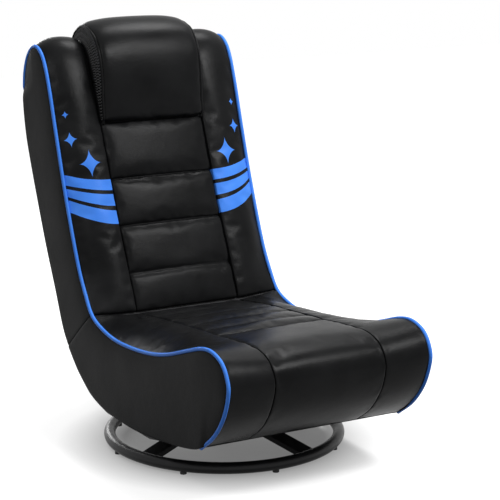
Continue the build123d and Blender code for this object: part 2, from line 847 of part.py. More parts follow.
pivot_top = BELLY_Z + CAGE_CLEAR
pivot = (
    upright(0, 0, hub_z - PIVOT_HEAD_T, pivot_top + PIVOT_HEAD_T, PIVOT_D / 2)
    + upright(0, 0, pivot_top, pivot_top + PIVOT_HEAD_T, PIVOT_HEAD_D / 2)
    + upright(0, 0, hub_z - PIVOT_HEAD_T, hub_z, PIVOT_HEAD_D / 2)
)
save("swivel_pivot", pivot)

ball_angles = [2 * math.pi * i / BALL_COUNT for i in range(BALL_COUNT)]
balls = [Pos(RACE_R * math.cos(a), RACE_R * math.sin(a), ball_z) * Sphere(BALL_D / 2) for a in ball_angles]
cage = upright(0, 0, ball_z - CAGE_T / 2, ball_z + CAGE_T / 2, RACE_R + CAGE_W / 2)
cage -= upright(0, 0, ball_z - CAGE_T, ball_z + CAGE_T, RACE_R - CAGE_W / 2)
for a in ball_angles:
    x = RACE_R * math.cos(a)
    y = RACE_R * math.sin(a)
    cage -= upright(x, y, ball_z - CAGE_T, ball_z + CAGE_T, BALL_D / 2 + CAGE_CLEAR)
save("ball_cage", cage)
save("bearing_balls", *balls)

# Base: ring, spokes and glides
ring_z = GLIDE_H + RING_TUBE_D / 2
ring_r = RING_TUBE_D / 2
ring = Pos(0, 0, ring_z) * Torus(RING_R, ring_r)
stem_holes = []
glides = []
for i in range(GLIDE_COUNT):
    a = math.radians(BASE_TURN + 360 / GLIDE_COUNT * (i + 0.5))
    x = RING_R * math.cos(a)
    y = RING_R * math.sin(a)
    stem_holes.append(upright(x, y, 0, ring_z, GLIDE_STEM_D / 2 + BOLT_CLEAR))
    foot = upright(x, y, 0, GLIDE_H + RING_WALL, GLIDE_D / 2)
    foot -= Pos(0, 0, ring_z) * Torus(RING_R, ring_r + WELD_GAP)
    glides.append(foot + upright(x, y, GLIDE_H / 2, GLIDE_H / 2 + GLIDE_STEM_H, GLIDE_STEM_D / 2))
ring = ring - stem_holes - Pos(0, 0, ring_z) * Torus(RING_R, ring_r - RING_WALL)
save("base_ring", ring)
save("floor_glides", *glides)

spoke_bend = HUB_W / 2
spoke_end = RING_R
spoke_low = ring_z + SPOKE_T / 2


def spoke_band(depth):
    """The spoke's side view, (radius, height): level under the hub, then down to the ring."""
    return make_face(
        Polyline(
            (SPOKE_IN, hub_z),
            (spoke_bend, hub_z),
            (spoke_end, spoke_low),
            (spoke_end, spoke_low - depth),
            (spoke_bend, hub_z - depth),
            (SPOKE_IN, hub_z - depth),
            close=True,
        )
    )


spoke = extrude(Plane.XZ * spoke_band(SPOKE_FLANGE), amount=SPOKE_W / 2, both=True)
trough_w = SPOKE_W - 2 * SPOKE_T
spoke -= extrude(Plane.XZ * (Pos(0, -SPOKE_T) * spoke_band(SPOKE_FLANGE)), amount=trough_w / 2, both=True)
spoke -= Pos(0, 0, ring_z) * Torus(RING_R, ring_r + WELD_GAP)
spoke = max(spoke.solids(), key=lambda s: s.volume)
for i in range(SPOKE_COUNT):
    save(f"base_spoke_{i + 1}", Rot(0, 0, BASE_TURN + 360 / SPOKE_COUNT * i) * spoke)

# Seat frame
rail_z = mount_top + tube_r
front_tube = seat_point(front_tube_forward, FRONT_TUBE_Z)
seat_board_middle = butt_point((seat_board_start + BUTT_LENGTH) / 2, -end_setback - BOARD_T)
rail_points = [
    front_tube,
    seat_point(RAIL_FLAT_FORWARD, rail_z),
    seat_point(RAIL_FLAT_REAR, rail_z),
    step(seat_board_middle, unit(seat_point(RAIL_FLAT_REAR, rail_z), seat_board_middle), TUBE_D),
]
seat_end_zone = across(
    flat_to_side(
        polygon(
            [
                butt_point(-FAR, -end_setback - BOARD_T),
                butt_point(FAR, -end_setback - BOARD_T),
                butt_point(FAR, FAR),
                butt_point(-FAR, FAR),
            ]
        )
    ),
    -FAR,
    FAR,
)
seat_rail = steel_tube(rail_points, seat_rail_x) - seat_end_zone
seat_rail -= rod(0, FAR, front_tube, tube_r + WELD_GAP)
save_pair("seat_rail", seat_rail)
seat_tube_x = seat_rail_x + tube_r
seat_front_tube = rod(-seat_tube_x, seat_tube_x, front_tube, tube_r) - rod(
    -FAR, FAR, front_tube, tube_r - TUBE_WALL
)
save("seat_front_tube", seat_front_tube)

base_board_z = rail_z + tube_r
board_front = seat_point(RAIL_FLAT_FORWARD - TUBE_D, base_board_z)
board_rear = seat_point(RAIL_FLAT_REAR + TUBE_D, base_board_z)
base_board = across(
    flat_to_side(
        polygon(
            [
                board_front,
                board_rear,
                (board_rear[0], base_board_z + BASE_BOARD_T),
                (board_front[0], base_board_z + BASE_BOARD_T),
            ]
        )
    ),
    -pad_x,
    pad_x,
)
save("seat_base_board", base_board)

core_low = base_board_z + BASE_BOARD_T
core_rear_y = CREASE_Y + CORE_PAST_CREASE


def under_pad(y):
    share = (CREASE_Y - y) / roll_forward
    return CREASE_Z - SEAT_PAD_T + (ROLL_Z - CREASE_Z) * share - CLEAR


seat_core = across(
    flat_to_side(
        polygon(
            [
                (roll_y + CLEAR, core_low),
                (core_rear_y, core_low),
                (core_rear_y, under_pad(core_rear_y)),
                (roll_y + CLEAR, under_pad(roll_y + CLEAR)),
            ]
        )
    ),
    -pad_x,
    pad_x,
)
rail_room = tube_along(rail_points, seat_rail_x, tube_r + CLEAR)
seat_core -= rail_room
seat_core -= mirrored(rail_room)
seat_core -= rod(-FAR, FAR, front_tube, tube_r + CLEAR)
seat_core = max(seat_core.solids(), key=lambda s: s.volume)
save("seat_foam_core", seat_core)

# Back frame
frame_behind = BACK_PAD_T + CLEAR + STRAP_T + CLEAR + tube_r


def frame_point(along, behind):
    """A point of the back's frame, by its place behind the seam line."""
    return step(step(crease, back_line, along), back_behind, behind)


top_tube = frame_point(top_tube_along, frame_behind)
back_end_zone = across(
    flat_to_side(
        polygon(
            [
                butt_point(-FAR, end_setback + BOARD_T),
                butt_point(FAR, end_setback + BOARD_T),
                butt_point(FAR, -FAR),
                butt_point(-FAR, -FAR),
            ]
        )
    ),
    -FAR,
    FAR,
)
back_rail = steel_tube([frame_point(-BUTT_LENGTH, frame_behind), top_tube], back_rail_x) - back_end_zone
back_rail -= rod(0, FAR, top_tube, tube_r + WELD_GAP)
save_pair("back_rail", back_rail)
back_tube_x = back_rail_x + tube_r
back_top_tube = rod(-back_tube_x, back_tube_x, top_tube, tube_r) - rod(-FAR, FAR, top_tube, tube_r - TUBE_WALL)
save("back_top_tube", back_top_tube)

straps = []
strap_near = BACK_PAD_T + CLEAR
for i in range(STRAP_COUNT):
    middle = top_tube_along * (i + 0.5) / STRAP_COUNT
    corners = [
        frame_point(middle - STRAP_W / 2, strap_near),
        frame_point(middle + STRAP_W / 2, strap_near),
        frame_point(middle + STRAP_W / 2, strap_near + STRAP_T),
        frame_point(middle - STRAP_W / 2, strap_near + STRAP_T),
    ]
    straps.append(across(flat_to_side(polygon(corners)), -back_tube_x, back_tube_x))
save("back_webbing", *straps)

core_near = frame_behind + tube_r + CLEAR
core_region = polygon(
    [
        frame_point(BOARD_T, core_near),
        frame_point(cap_along - BOARD_T, core_near),
        frame_point(cap_along - BOARD_T, FAR),
        frame_point(BOARD_T, FAR),
    ]
)
back_core = across(flat_to_side(shrunk(back_outline, COVER_T + CLEAR) & core_region), -pad_x, pad_x)
save("back_foam_core", back_core)
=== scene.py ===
import math

import bpy
import bmesh
import numpy as np
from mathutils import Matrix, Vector, noise


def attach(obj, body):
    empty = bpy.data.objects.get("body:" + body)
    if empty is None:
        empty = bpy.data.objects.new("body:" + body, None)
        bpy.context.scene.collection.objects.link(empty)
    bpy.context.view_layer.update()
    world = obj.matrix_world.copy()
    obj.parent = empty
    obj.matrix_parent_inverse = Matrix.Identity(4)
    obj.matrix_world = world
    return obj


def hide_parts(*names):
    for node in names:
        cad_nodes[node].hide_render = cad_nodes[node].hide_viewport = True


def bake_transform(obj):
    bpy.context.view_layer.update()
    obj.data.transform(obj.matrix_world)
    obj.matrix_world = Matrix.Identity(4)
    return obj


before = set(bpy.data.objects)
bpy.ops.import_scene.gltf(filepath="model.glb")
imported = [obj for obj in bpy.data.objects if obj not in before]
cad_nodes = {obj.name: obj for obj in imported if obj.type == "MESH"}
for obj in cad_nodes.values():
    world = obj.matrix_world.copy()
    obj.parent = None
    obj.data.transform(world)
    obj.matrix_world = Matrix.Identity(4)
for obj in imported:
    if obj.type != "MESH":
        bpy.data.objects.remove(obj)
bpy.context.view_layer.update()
scene = bpy.context.scene

# Metres, except the stations of the outlines, which are in millimetres. +Z is up, the sitter faces -Y.
MM = 0.001
SIDES = ((1, "right"), (-1, "left"))
CREASE = (0.175, 0.268)  # Y and Z of the line that the back folds at
LEAN = math.radians(20)  # back, from upright
BUTT = math.radians(40)  # plane where the two halves meet, below level
SEAM_X = 0.129           # long seams beside the centre panels
EDGE_X = 0.236           # piped side edges
PIPING_R = 0.004

# Seat, (Y, Z): its piped side edge, and its surface at the two long seams, station by station
SEAT_EDGE = [
    (172, 271), (126, 252), (57, 241), (-30, 243), (-116, 253), (-190, 270), (-265, 295), (-330, 316),
    (-375, 320), (-415, 306), (-437, 275), (-438, 245), (-418, 195), (-380, 149), (-328, 111),
]
SEAT_SEAM = [
    (163, 262), (126, 267), (57, 276), (-30, 285), (-116, 292), (-190, 298), (-265, 305), (-330, 310),
    (-372, 309), (-410, 297), (-433, 270), (-436, 242), (-417, 193), (-380, 149), (-328, 111),
]
SEAT_UNDER = [
    (290, 172), (244, 131), (207, 107), (171, 88), (111, 73), (32, 68), (-60, 69), (-184, 82),
    (-297, 101), (-345, 120), (-380, 149), (-418, 195), (-436, 236),
]
ROLL_STATION = 5.17      # where the centre panel meets the front roll
SEAT_PLEATS = 6

# Back, (along, behind) from the crease
BACK_EDGE = [
    (2, -4), (50, 12), (105, 23), (180, 28), (290, 30), (400, 27), (500, 23), (560, 24),
    (597, 33), (621, 55), (624, 84), (607, 119), (572, 149), (520, 170),
]
BACK_SEAM = [
    (-5, -12), (50, -9), (105, -4), (180, 2), (290, 8), (400, 12), (500, 13), (562, 16),
    (606, 28), (632, 54), (635, 88), (616, 123), (576, 152), (520, 170),
]
BACK_REAR = [
    (-51, 141), (-4, 155), (78, 162), (187, 174), (284, 180), (385, 184), (450, 183), (520, 170),
    (572, 149), (607, 119), (622, 92),
]
RISING = 8               # stations of the back's front and rear before they turn over the top
CAP_STATION = 6.33       # where the centre panel meets the cap
REAR_STATION = 7.0       # where the rear panel meets the cap
BACK_GROOVES = (82, 192, 298, 430)

# Headrest pillow, (along, behind): its front over the top to its rear, and the pads under it
PILLOW_FRONT = [
    (424, 12), (432, -6), (467, -14), (523, -31), (573, -38), (621, -29), (657, 0), (674, 36),
    (669, 78), (647, 112), (612, 139), (572, 159), (524, 177),
]
PILLOW_INNER = [
    (424, 13), (445, 12), (480, 12), (530, 12), (568, 15), (605, 26), (626, 43), (636, 66),
    (636, 90), (626, 114), (604, 136), (572, 156), (526, 173),
]

# How finely the pads are divided
PAD_SPACING = 0.0065
CURVE_STEPS = 1200
CLOSE = (0.0, 0.0015, 0.004, 0.0075, 0.012)  # rows beside a seam
LEAST = CLOSE[1] * 0.7   # closest that two rows may lie


def side_points(points):
    """(Y, Z) in millimetres to metres."""
    return np.array(points, float) * MM


def back_points(points):
    """(along, behind) in millimetres to (Y, Z) in metres."""
    along, behind = (np.array(points, float) * MM).T
    y = CREASE[0] + along * math.sin(LEAN) + behind * math.cos(LEAN)
    z = CREASE[1] + along * math.cos(LEAN) - behind * math.sin(LEAN)
    return np.stack([y, z], -1)


def butt_points(along, over):
    """Distances from the crease, down the butt plane and off it, to (Y, Z)."""
    y = CREASE[0] + along * math.cos(BUTT) + over * math.sin(BUTT)
    z = CREASE[1] - along * math.sin(BUTT) + over * math.cos(BUTT)
    return np.stack(np.broadcast_arrays(y, z), -1)


def curve_at(points, stations):
    """A smooth curve through the points, by station number."""
    k = np.clip(np.asarray(stations, float), 0, len(points) - 1)
    p = np.array([2 * points[0] - points[1], *points, 2 * points[-1] - points[-2]])
    i = np.minimum(k.astype(int), len(points) - 2)
    f = (k - i)[:, None]
    a, b, c, d = p[i], p[i + 1], p[i + 2], p[i + 3]
    square = 2 * a - 5 * b + 4 * c - d
    cube = 3 * b - a - 3 * c + d
    return 0.5 * (2 * b + (c - a) * f + square * f**2 + cube * f**3)


def station_at(points, along):
    """The station number at a height along the back, before it turns over the top."""
    return float(np.interp(along, [p[0] for p in points[:RISING]], np.arange(RISING)))


def arc_lengths(points):
    steps = np.linalg.norm(np.diff(points, axis=0), axis=1)
    return np.concatenate([[0.0], np.cumsum(steps)])


def spaced(values):
    """The values in order, without those too close to the one before."""
    values = np.array(sorted(values))
    return values[np.concatenate([[True], np.diff(values) > LEAST])]


def even_stations(points, start, end, spacing, marks=()):
    """Station numbers an even distance apart along a curve, and closer beside each mark."""
    fine = np.linspace(start, end, CURVE_STEPS)
    arc = arc_lengths(curve_at(points, fine))
    count = max(2, int(round(arc[-1] / spacing)) + 1)
    wanted = list(np.linspace(0, arc[-1], count))
    for mark in marks:
        centre = np.interp(mark, fine, arc)
        for off in CLOSE:
            wanted += [centre - off, centre + off]
    return np.interp(spaced(w for w in wanted if 0 <= w <= arc[-1]), arc, fine)


def columns(low, high, spacing):
    """Places across a panel an even distance apart, and closer beside its two sides."""
    count = max(3, int(round((high - low) / spacing)) + 1)
    xs = list(np.linspace(low, high, count))
    for off in CLOSE[1:]:
        xs += [low + off, high - off]
    return spaced(xs)


def swept(xs, yz):
    """A grid of points from side-view points: one line of them, or one for each column."""
    if yz.ndim == 2:
        yz = yz[:, None]
    rows, cols = len(yz), len(xs)
    x = np.broadcast_to(xs[None, :, None], (rows, cols, 1))
    return np.concatenate([x, np.broadcast_to(yz, (rows, cols, 2))], 2)


def dip(distance, radius, depth):
    """How far a pad's rounded edge falls below its face, by the distance from the seam."""
    q = np.clip(1 - distance / radius, 0, 1)
    return depth * (1 - np.sqrt(1 - q * q))


PUCKER_FADE = 0.014


def pucker(grid, distance, size, wave):
    """Small gathers that die away from a seam."""
    out = np.zeros(grid.shape[:2])
    for i in range(grid.shape[0]):
        for j in range(grid.shape[1]):
            out[i, j] = noise.noise(Vector(grid[i, j]) / wave)
    return size * out * np.exp(-distance / PUCKER_FADE)


def surface_normals(grid, outward):
    n = np.cross(np.gradient(grid, axis=1), np.gradient(grid, axis=0))
    n /= np.maximum(np.linalg.norm(n, axis=2, keepdims=True), 1e-9)
    if np.dot(n[len(n) // 3].mean(0), outward) < 0:
        n = -n
    return n


def grid_uv(grid):
    """Across in metres, and along the middle in metres."""
    v = arc_lengths(grid[:, grid.shape[1] // 2])
    u = grid[0, :, 0]
    return np.stack(np.broadcast_arrays(u[None, :], v[:, None]), -1)


def new_object(name, verts, faces, uvs):
    mesh = bpy.data.meshes.new(name)
    mesh.from_pydata([tuple(v) for v in verts], [], faces)
    layer = mesh.uv_layers.new(name="cloth")
    for loop in mesh.loops:
        layer.data[loop.index].uv = uvs[loop.vertex_index]
    bm = bmesh.new()
    bm.from_mesh(mesh)
    bmesh.ops.remove_doubles(bm, verts=bm.verts, dist=1e-6)
    bmesh.ops.recalc_face_normals(bm, faces=bm.faces)
    bm.to_mesh(mesh)
    bm.free()
    mesh.polygons.foreach_set("use_smooth", [True] * len(mesh.polygons))
    obj = bpy.data.objects.new(name, mesh)
    scene.collection.objects.link(obj)
    return obj


def closed_pad(name, top, low, uv):
    """A closed form between two grids of points, and the numbers of its border and lower points."""
    rows, cols = top.shape[:2]
    verts = np.concatenate([top.reshape(-1, 3), low.reshape(-1, 3)])
    count = rows * cols

    def at(i, j):
        return i * cols + j

    faces = []
    for i in range(rows - 1):
        for j in range(cols - 1):
            quad = (at(i, j), at(i, j + 1), at(i + 1, j + 1), at(i + 1, j))
            faces.append(quad)
            faces.append(tuple(count + q for q in reversed(quad)))
    border = [at(0, j) for j in range(cols)]
    border += [at(i, cols - 1) for i in range(1, rows)]
    border += [at(rows - 1, j) for j in range(cols - 2, -1, -1)]
    border += [at(i, 0) for i in range(rows - 2, 0, -1)]
    for a, b in zip(border, border[1:] + border[:1]):
        faces.append((b, a, count + a, count + b))
    uvs = np.concatenate([uv.reshape(-1, 2), uv.reshape(-1, 2)])
    pinned = sorted(set(border)) + list(range(count, 2 * count))
    return new_object(name, verts, faces, uvs), pinned


def mesh_points(mesh):
    return np.array([v.co for v in mesh.vertices])


FILL_FRAMES = 16
CLOTH = {
    "quality": 5,
    "mass": 0.25,
    "tension_stiffness": 25,
    "compression_stiffness": 25,
    "shear_stiffness": 10,
    "bending_stiffness": 4.0,
    "shrink_min": -0.003,
}
to_fill = []  # (object, pinned points, pressure, most that a point may move)


def fill_pads():
    """Fill the pads with air pressure, with their sewn edges held, and keep the shape."""
    for obj, pinned, pressure, _ in to_fill:
        obj.vertex_groups.new(name="sewn").add(pinned, 1.0, "REPLACE")
        cloth = obj.modifiers.new("cloth", "CLOTH")
        for setting, value in CLOTH.items():
            setattr(cloth.settings, setting, value)
        cloth.settings.use_pressure = True
        cloth.settings.uniform_pressure_force = pressure
        cloth.settings.effector_weights.gravity = 0
        cloth.settings.vertex_group_mass = "sewn"
        cloth.collision_settings.use_collision = False
        cloth.point_cache.frame_start = 1
        cloth.point_cache.frame_end = FILL_FRAMES
    for number in range(1, FILL_FRAMES + 1):
        scene.frame_set(number)
    graph = bpy.context.evaluated_depsgraph_get()
    for obj, _, _, cap in to_fill:
        rest = mesh_points(obj.data)
        move = mesh_points(obj.evaluated_get(graph).data) - rest
        length = np.linalg.norm(move, axis=1, keepdims=True)
        move *= cap * np.tanh(length / cap) / np.maximum(length, 1e-9)
        obj.modifiers.clear()
        obj.vertex_groups.clear()
        for vertex, place in zip(obj.data.vertices, rest + move):
            vertex.co = place
    scene.frame_set(1)


def smooth(obj, levels=1):
    sub = obj.modifiers.new("subdivision", "SUBSURF")
    sub.levels = levels
    sub.render_levels = levels


UP_FRONT = np.array([0, -0.5, 0.9])
REARWARD = np.array([0, 0.9, -0.3])
CROWN_RISE = 0.03        # how soon a crown rises from the panel's ends
GATHERS = (0.0011, 0.016)  # size and wave close to the seams
SWELLS = (0.0012, 0.07)  # and those that reach further in
SWELL_NEAR = 0.2         # share of the distance from the seam that they fade by
HELD = 0.0005            # points as near as this to a seam are sewn down


def skin(edge, seam, ks, xs, ease):
    """Surface points: the seam line between the long seams, easing to the edge line at the side."""
    f = np.clip((np.abs(xs) - SEAM_X) / (EDGE_X - SEAM_X), 0, 1)
    f = f[None, :] ** np.interp(ks, *ease)[:, None]
    e = curve_at(edge, ks)
    s = curve_at(seam, ks)
    return swept(xs, s[:, None] * (1 - f)[..., None] + e[:, None] * f[..., None])


def sewn_panel(name, edge, seam, span, xs, crown, depth, marks=(), groove=(0.012, 0.004),
               edges=(0.014, 0.007), starts=(0.006, 0.002), ends=(0.018, 0.008),
               fill=(3.0, 0.006), ease=((0.0,), (1.5,)), tuck=None):
    """A padded panel of the upholstery between its seams, with sewn lines across it at the marks.

    Crown and ease are stations and the values there. Groove, edges, starts and ends are how near the
    seam the face begins to fall and how far it falls. Fill is a pressure and the most that it moves.
    """
    ks = even_stations(seam, span[0], span[1], PAD_SPACING, (span[0], *marks, span[1]))
    grid = skin(edge, seam, ks, xs, ease)
    uv = grid_uv(grid)
    u, v = uv[..., 0], uv[..., 1]
    from_side = np.minimum(u - xs[0], xs[-1] - u)
    from_end = np.minimum(v, v[-1, 0] - v)
    across = (u - xs[0]) / (xs[-1] - xs[0]) * 2 - 1
    height = np.interp(ks, *crown)[:, None] * (1 - across**2) * (1 - np.exp(-from_end / CROWN_RISE))
    height -= dip(from_side, *edges) + dip(v, *starts) + dip(v[-1, 0] - v, *ends)
    if tuck is not None:
        radius, *depths = tuck
        height -= dip(np.abs(u) - SEAM_X, radius, 1.0) * np.interp(ks, *depths)[:, None]
    near = np.minimum(from_side, from_end)
    for mark in marks:
        away = np.abs(v - np.interp(mark, ks, v[:, 0]))
        height -= dip(away, *groove)
        near = np.minimum(near, away)
    height += pucker(grid, near, *GATHERS) + pucker(grid, near * SWELL_NEAR, *SWELLS)
    n = surface_normals(grid, UP_FRONT)
    obj, pinned = closed_pad(name, grid + n * height[..., None], grid - n * depth, uv)
    held = np.flatnonzero(near.reshape(-1) < HELD).tolist()
    to_fill.append((obj, sorted(set(pinned + held)), *fill))
    return obj


seat_edge = side_points(SEAT_EDGE)
seat_seam = side_points(SEAT_SEAM)
seat_under = side_points(SEAT_UNDER)
back_edge = back_points(BACK_EDGE)
back_seam = back_points(BACK_SEAM)
back_rear = back_points(BACK_REAR)
pillow_front = back_points(PILLOW_FRONT)
pillow_inner = back_points(PILLOW_INNER)
SEAM_GAP = 0.0003
PIPED_GAP = 0.002        # pads to the piping's line
inner_x = SEAM_X - SEAM_GAP
outer_low = SEAM_X + SEAM_GAP
outer_high = EDGE_X - PIPED_GAP
last_seat = len(SEAT_EDGE) - 1
last_back = len(BACK_EDGE) - 1
centre_columns = columns(-inner_x, inner_x, PAD_SPACING)
side_columns = columns(outer_low, outer_high, PAD_SPACING)
bolster_columns = {1: side_columns, -1: -side_columns[::-1]}
pieces = {}  # by the CAD node that each replaces

# Seat pads
pieces["seat_centre_pad"] = sewn_panel(
    "seat_centre_cushion", seat_edge, seat_seam, (0.0, ROLL_STATION), centre_columns,
    crown=((0.0, 2.5), (0.001, 0.005)), depth=0.03,
    marks=np.linspace(0.0, ROLL_STATION, SEAT_PLEATS + 1)[1:-1], groove=(0.02, 0.0022),
    edges=(0.008, 0.003), ends=(0.010, 0.004),
)
pieces["seat_front_roll"] = sewn_panel(
    "seat_front_roll_cover", seat_edge, seat_seam, (ROLL_STATION, last_seat), centre_columns,
    crown=((0.0,), (0.0015,)), depth=0.025,
    edges=(0.003, 0.0009), starts=(0.008, 0.003), ends=(0.008, 0.003), fill=(1.5, 0.002),
)
for side, name in SIDES:
    pieces[f"seat_bolster_{name}"] = sewn_panel(
        f"seat_bolster_cushion_{name}", seat_edge, seat_seam, (0.0, last_seat), bolster_columns[side],
        crown=((0.0, 2.5, 4.4, 6.4), (0.001, 0.006, 0.006, 0.0015)), depth=0.025,
        edges=(0.003, 0.0009), ends=(0.012, 0.004), fill=(2.0, 0.002),
    )

# Back pads
pieces["back_centre_pad"] = sewn_panel(
    "back_channel_cushion", back_edge, back_seam, (0.0, CAP_STATION), centre_columns,
    crown=((0.0, 3.0), (0.0, 0.005)), depth=0.03,
    marks=[station_at(BACK_SEAM, along) for along in BACK_GROOVES], groove=(0.020, 0.010),
    edges=(0.012, 0.007), starts=(0.010, 0.004), ends=(0.02, 0.01), fill=(3.0, 0.005),
)
pieces["back_top_cap"] = sewn_panel(
    "back_cap_cover", back_edge, back_seam, (CAP_STATION, last_back), centre_columns,
    crown=((0.0,), (0.0,)), depth=0.02, ends=(0.012, 0.004), fill=(1.0, 0.001),
)
for side, name in SIDES:
    pieces[f"back_bolster_{name}"] = sewn_panel(
        f"back_bolster_cushion_{name}", back_edge, back_seam, (0.0, last_back), bolster_columns[side],
        crown=((0.0, 3.0), (0.002, 0.008)), depth=0.025,
        edges=(0.007, 0.0025), starts=(0.010, 0.004), ends=(0.014, 0.005), fill=(2.0, 0.003),
        ease=((7.0, 8.6), (1.5, 4.5)), tuck=(0.018, (5.2, 6.4, 8.5, 9.5), (0.0, 0.009, 0.009, 0.004)),
    )

# Headrest pillow
PILLOW_X = 0.1235
PILLOW_PROUD = 0.001
PILLOW_EDGES = (0.016, 0.006)
PILLOW_FALL = 0.002      # from its middle to its sides
CREST_FALL = 0.010       # the same at its crest, in its corners
CREST_STATION = 7.0
CREST_REACH = 2.2        # stations
FALL_SHARE = 0.7         # most of its thickness that may go
PILLOW_GATHERS = (0.0014, 0.02)
PILLOW_SWELLS = (0.0016, 0.09)
PILLOW_SWELL_NEAR = 0.15
PILLOW_FILL = (3.0, 0.005)
pillow_columns = columns(-PILLOW_X, PILLOW_X, PAD_SPACING)
pillow_last = len(PILLOW_FRONT) - 1
pillow_ks = even_stations(pillow_front, 0, pillow_last, PAD_SPACING, (0, pillow_last))
front_grid = swept(pillow_columns, curve_at(pillow_front, pillow_ks))
inner_grid = swept(pillow_columns, curve_at(pillow_inner, pillow_ks))
pillow_uv = grid_uv(front_grid)
pillow_side = PILLOW_X - np.abs(pillow_uv[..., 0])
pillow_n = surface_normals(front_grid, UP_FRONT)
room = np.linalg.norm(front_grid - inner_grid, axis=2)
pillow_drop = dip(pillow_side, *PILLOW_EDGES) + PILLOW_FALL * (pillow_uv[..., 0] / PILLOW_X) ** 2
crest_share = np.exp(-(((pillow_ks - CREST_STATION) / CREST_REACH) ** 2))[:, None]
pillow_drop = pillow_drop + CREST_FALL * crest_share * (np.abs(pillow_uv[..., 0]) / PILLOW_X) ** 4
pillow_h = PILLOW_PROUD - np.minimum(pillow_drop, room * FALL_SHARE)
pillow_h += pucker(front_grid, pillow_side, *PILLOW_GATHERS)
pillow_h += pucker(front_grid, pillow_side * PILLOW_SWELL_NEAR, *PILLOW_SWELLS)
pillow_top = front_grid + pillow_n * pillow_h[..., None]
pillow, pillow_pins = closed_pad("headrest_pillow_cushion", pillow_top, inner_grid, pillow_uv)
to_fill.append((pillow, pillow_pins, *PILLOW_FILL))
pieces["headrest_pillow"] = pillow

# Its mesh gussets: short bars in columns, like a ladder
GUSSET_T = 0.0016
GUSSET_GAP = 0.0004      # to the pillow
GUSSET_W = 0.03          # width that its texture is laid out to
GUSSET_SUNK = 0.009      # how far it goes down between the pads
FULL_ROOM = 0.02         # thickness of the pillow from which it is sunk so far
BAR_PITCH = 0.0070
BAR_RISE = 0.0016
BAR_COLUMNS = 3
BAR_STEP = 0.001
COLUMN_POINTS = 8
gusset_arc = arc_lengths(pillow_top[:, 0])
fine_arc = np.arange(0, gusset_arc[-1], BAR_STEP)
fine_rows = np.interp(fine_arc, gusset_arc, np.arange(len(gusset_arc)))
depths = np.linspace(0, 1, COLUMN_POINTS * BAR_COLUMNS + 1)


def fine_line(points):
    return np.stack([np.interp(fine_rows, np.arange(len(points)), points[:, i]) for i in range(3)], -1)


for side, name in SIDES:
    end = -1 if side > 0 else 0
    sunk = GUSSET_SUNK * np.minimum(1.0, room[:, 0] / FULL_ROOM)[:, None]
    outer_line = fine_line(pillow_top[:, end])
    inner_line = fine_line(inner_grid[:, end] - pillow_n[:, end] * sunk)
    grid = outer_line[:, None] * (1 - depths)[None, :, None] + inner_line[:, None] * depths[None, :, None]
    shift = np.floor(BAR_COLUMNS * depths * 0.999)[None, :] / 2
    bars = np.abs(np.sin(math.pi * (fine_arc[:, None] / BAR_PITCH + shift))) ** 1.5
    bars = bars * np.abs(np.sin(BAR_COLUMNS * math.pi * depths))[None, :] ** 0.7
    grid[..., 0] = side * (PILLOW_X + GUSSET_T + BAR_RISE * bars)
    low = grid.copy()
    low[..., 0] = side * (PILLOW_X + GUSSET_GAP)
    uv = np.stack(np.broadcast_arrays(GUSSET_W * depths[None, :], fine_arc[:, None]), -1)
    pieces[f"headrest_gusset_{name}"], _ = closed_pad(f"headrest_mesh_gusset_{name}", grid, low, uv)


def tube(name, path, radius, sides=14):
    """A closed round cord along a line of points, of one radius or one for each point."""
    t = np.gradient(path, axis=0)
    t /= np.linalg.norm(t, axis=1, keepdims=True)
    a = np.cross(t, (1.0, 0, 0))
    a /= np.maximum(np.linalg.norm(a, axis=1, keepdims=True), 1e-9)
    b = np.cross(t, a)
    turn = np.linspace(0, 2 * math.pi, sides, endpoint=False)
    ring = a[:, None] * np.cos(turn)[None, :, None] + b[:, None] * np.sin(turn)[None, :, None]
    radius = np.broadcast_to(radius, len(path))[:, None]
    verts = (path[:, None] + radius[..., None] * ring).reshape(-1, 3)
    faces = []
    for i in range(len(path) - 1):
        for j in range(sides):
            k = (j + 1) % sides
            faces.append((i * sides + j, i * sides + k, (i + 1) * sides + k, (i + 1) * sides + j))
    faces.append(tuple(reversed(range(sides))))
    faces.append(tuple((len(path) - 1) * sides + j for j in range(sides)))
    arc = arc_lengths(path)
    uvs = np.stack(np.broadcast_arrays(turn[None, :] * radius, arc[:, None]), -1).reshape(-1, 2)
    return new_object(name, verts, faces, uvs)


# Welts where the pillow meets its gussets
WELT_R = 0.0032
WELT_OUT = 0.0012
welts = []
for side, name in SIDES:
    line = pillow_top[:, -1 if side > 0 else 0].copy()
    line[:, 0] = side * (PILLOW_X + WELT_OUT)
    welts.append(tube(f"headrest_welt_{name}", line, WELT_R))

# Piping: one cord each side, over the crease from the chin to the back's rear
PIPING_TAPER = 0.03      # over which its rear end thins and goes into the seam
PIPING_IN = 0.003        # how far in it goes
PIPING_THIN = 0.3        # share of its radius there
PIPING_SHORT = 0.1       # stations between it and the end of its line
PIPING_SPACING = 0.006
piping_stations = np.concatenate([seat_edge[::-1], back_edge[1:]])
piping_end = len(piping_stations) - 1 - PIPING_SHORT
piping_ks = even_stations(piping_stations, 0, piping_end, PIPING_SPACING)
piping_yz = curve_at(piping_stations, piping_ks)
piping_left = arc_lengths(piping_yz[::-1])[::-1]
piping_share = np.clip(piping_left / PIPING_TAPER, 0, 1)
piping_radius = PIPING_R * (PIPING_THIN + (1 - PIPING_THIN) * piping_share)
pipings = {}
for side, name in SIDES:
    path = np.column_stack([side * (EDGE_X - PIPING_IN * (1 - piping_share)), piping_yz])
    pipings[name] = tube(f"piping_{name}", path, piping_radius)

